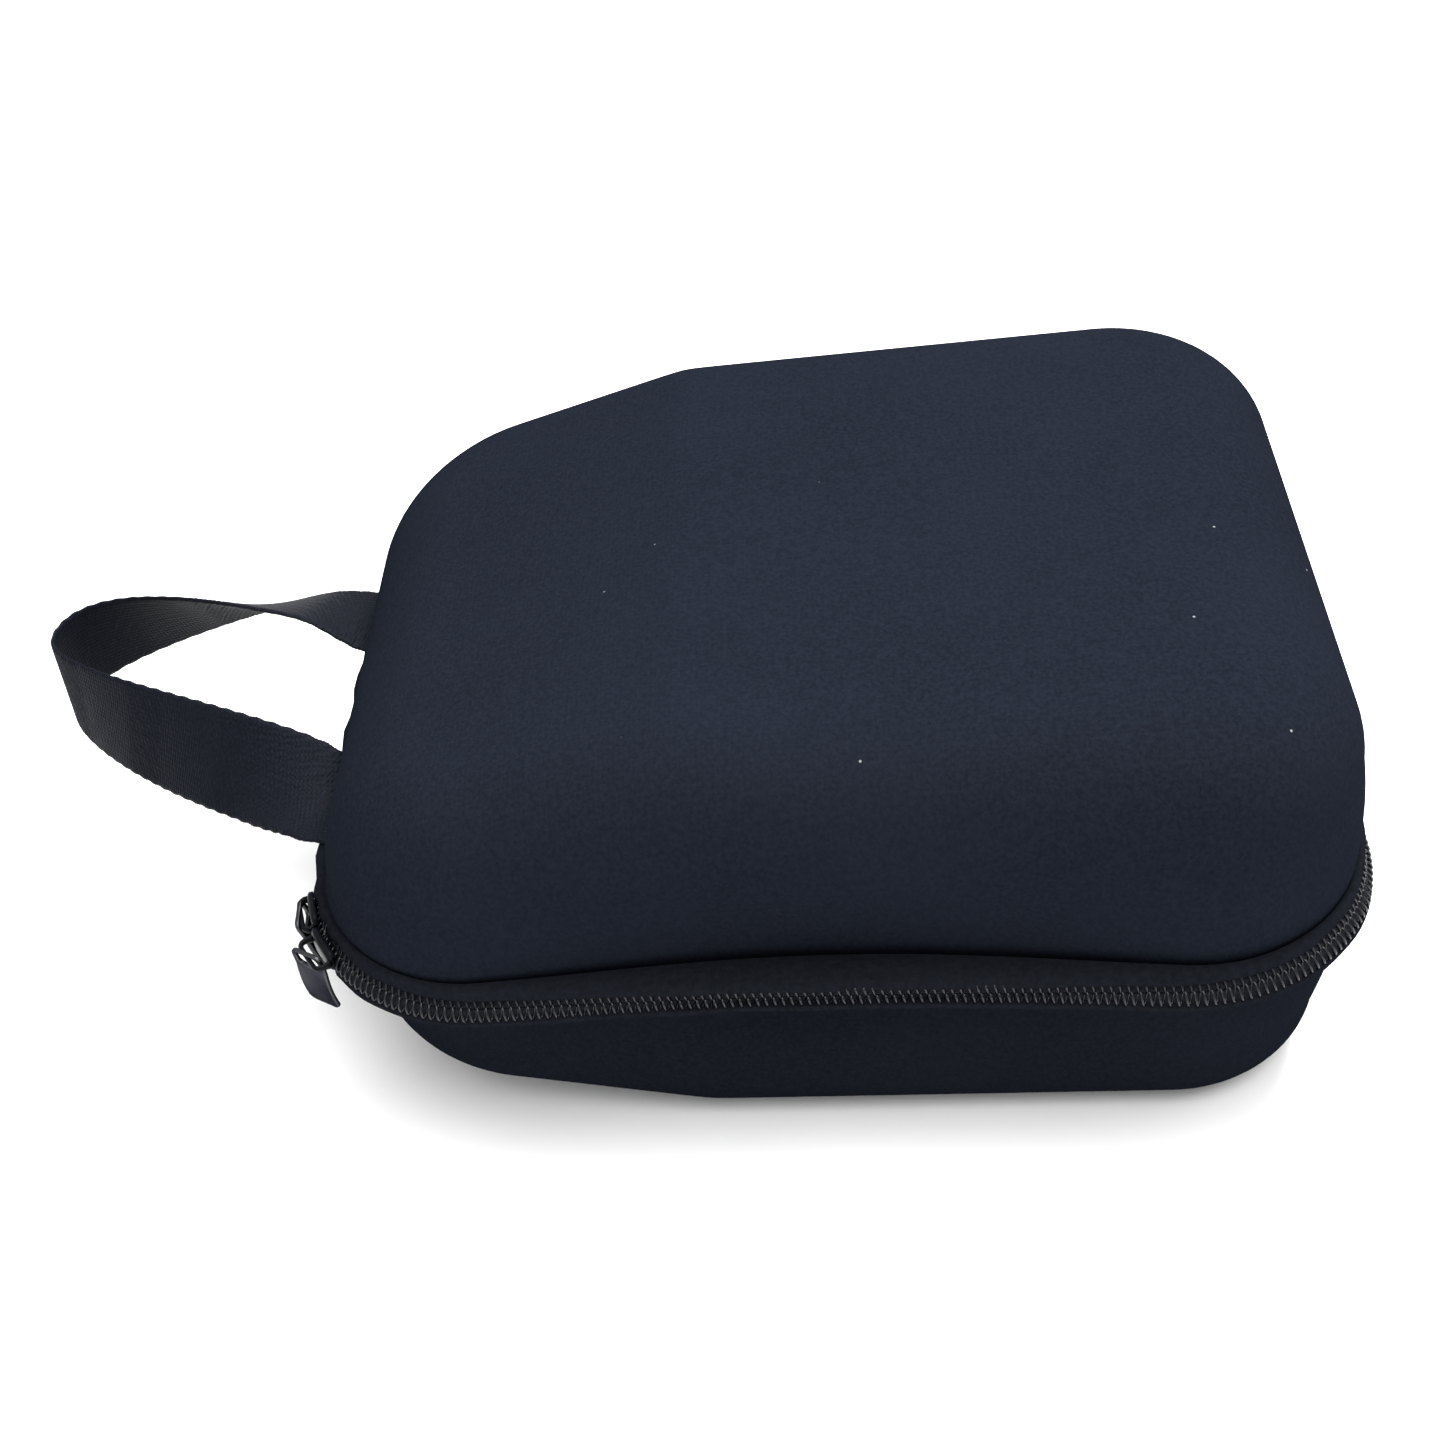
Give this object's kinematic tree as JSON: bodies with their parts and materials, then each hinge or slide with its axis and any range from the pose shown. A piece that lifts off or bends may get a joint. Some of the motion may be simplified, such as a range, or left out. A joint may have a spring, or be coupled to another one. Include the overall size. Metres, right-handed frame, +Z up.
{
  "type": "headphone carrying case",
  "caption": "Moulded fabric-covered hard case, tapered in plan and height, with a coil zipper round three sides, a fabric hinge, two sliders with pull tabs and a webbing handle loop.",
  "frame": {"origin": "a point of the flat underside, at the middle of the shells' length, on the centre line", "axes": "+Z up as the case lies on its base, +X towards the wide end, away from the handle, -Y towards the side that opens"},
  "size_m": [0.2893, 0.1835, 0.1014],
  "materials": {
    "cover_fabric": "matt fine knit over foam",
    "lip_fabric": "matt woven edge",
    "foam": "closed-cell moulded foam, matt",
    "lining_fabric": "brushed tricot lining",
    "tape": "woven zipper tape",
    "binding": "woven binding tape",
    "coil_nylon": "satin nylon coil",
    "mesh": "open knitted mesh",
    "elastic": "ribbed elastic",
    "webbing": "ribbed woven webbing",
    "thread": "bonded thread",
    "slider_metal": "black lacquered zinc, glossy",
    "pull_metal": "gunmetal, satin"
  },
  "bodies": {
    "base": {"base_cover": "cover_fabric", "base_shell": "foam", "base_lining": "lining_fabric", "base_lip": "lip_fabric", "base_zipper_tape": "tape", "base_zipper_coil": "coil_nylon", "base_binding": "binding", "hinge_panel": "lip_fabric", "hinge_lining": "lining_fabric", "zipper_end_tabs": "lip_fabric"},
    "lid": {"lid_cover": "cover_fabric", "lid_shell": "foam", "lid_lining": "lining_fabric", "lid_lip": "lip_fabric", "lid_zipper_tape": "tape", "lid_zipper_coil": "coil_nylon", "lid_binding": "binding", "mesh_pocket": "mesh", "pocket_elastic": "elastic", "handle_ends": "webbing", "handle_bartacks": "thread"},
    "handle": {"handle_strap": "webbing"},
    "slider_front": {"slider_front_body": "slider_metal", "slider_front_bridge": "slider_metal"},
    "pull_front": {"pull_front": "pull_metal"},
    "slider_rear": {"slider_rear_body": "slider_metal", "slider_rear_bridge": "slider_metal"},
    "pull_rear": {"pull_rear": "pull_metal"}
  },
  "joints": [
    {"name": "lid_hinge", "type": "hinge", "parent": "base", "child": "lid", "pos_m": [0, 0.0889, 0.0485], "axis": [-0.9991, -0.0428, 0], "range_deg": [0, 170], "deforming": ["hinge_panel", "hinge_lining"]},
    {"name": "handle_swing", "type": "hinge", "parent": "lid", "child": "handle", "pos_m": [-0.1106, 0, 0.0522], "axis": [0, -1, 0], "range_deg": [-80, 35]},
    {"name": "slider_front_travel", "type": "hinge", "parent": "base", "child": "slider_front", "pos_m": [-0.068, -0.04455, 0.0485], "axis": [0, 0, 1], "range_deg": [0, 44]},
    {"name": "slider_rear_travel", "type": "hinge", "parent": "base", "child": "slider_rear", "pos_m": [-0.068, -0.04455, 0.0485], "axis": [0, 0, 1], "range_deg": [-10, 0]},
    {"name": "pull_front_swing", "type": "hinge", "parent": "slider_front", "child": "pull_front", "pos_m": [-0.10595, -0.06827, 0.0485], "axis": [-0.5299, 0.848, 0], "range_deg": [0, 160]},
    {"name": "pull_rear_swing", "type": "hinge", "parent": "slider_rear", "child": "pull_rear", "pos_m": [-0.11102, -0.05689, 0.0485], "axis": [-0.2756, 0.9613, 0], "range_deg": [0, 160]}
  ]
}
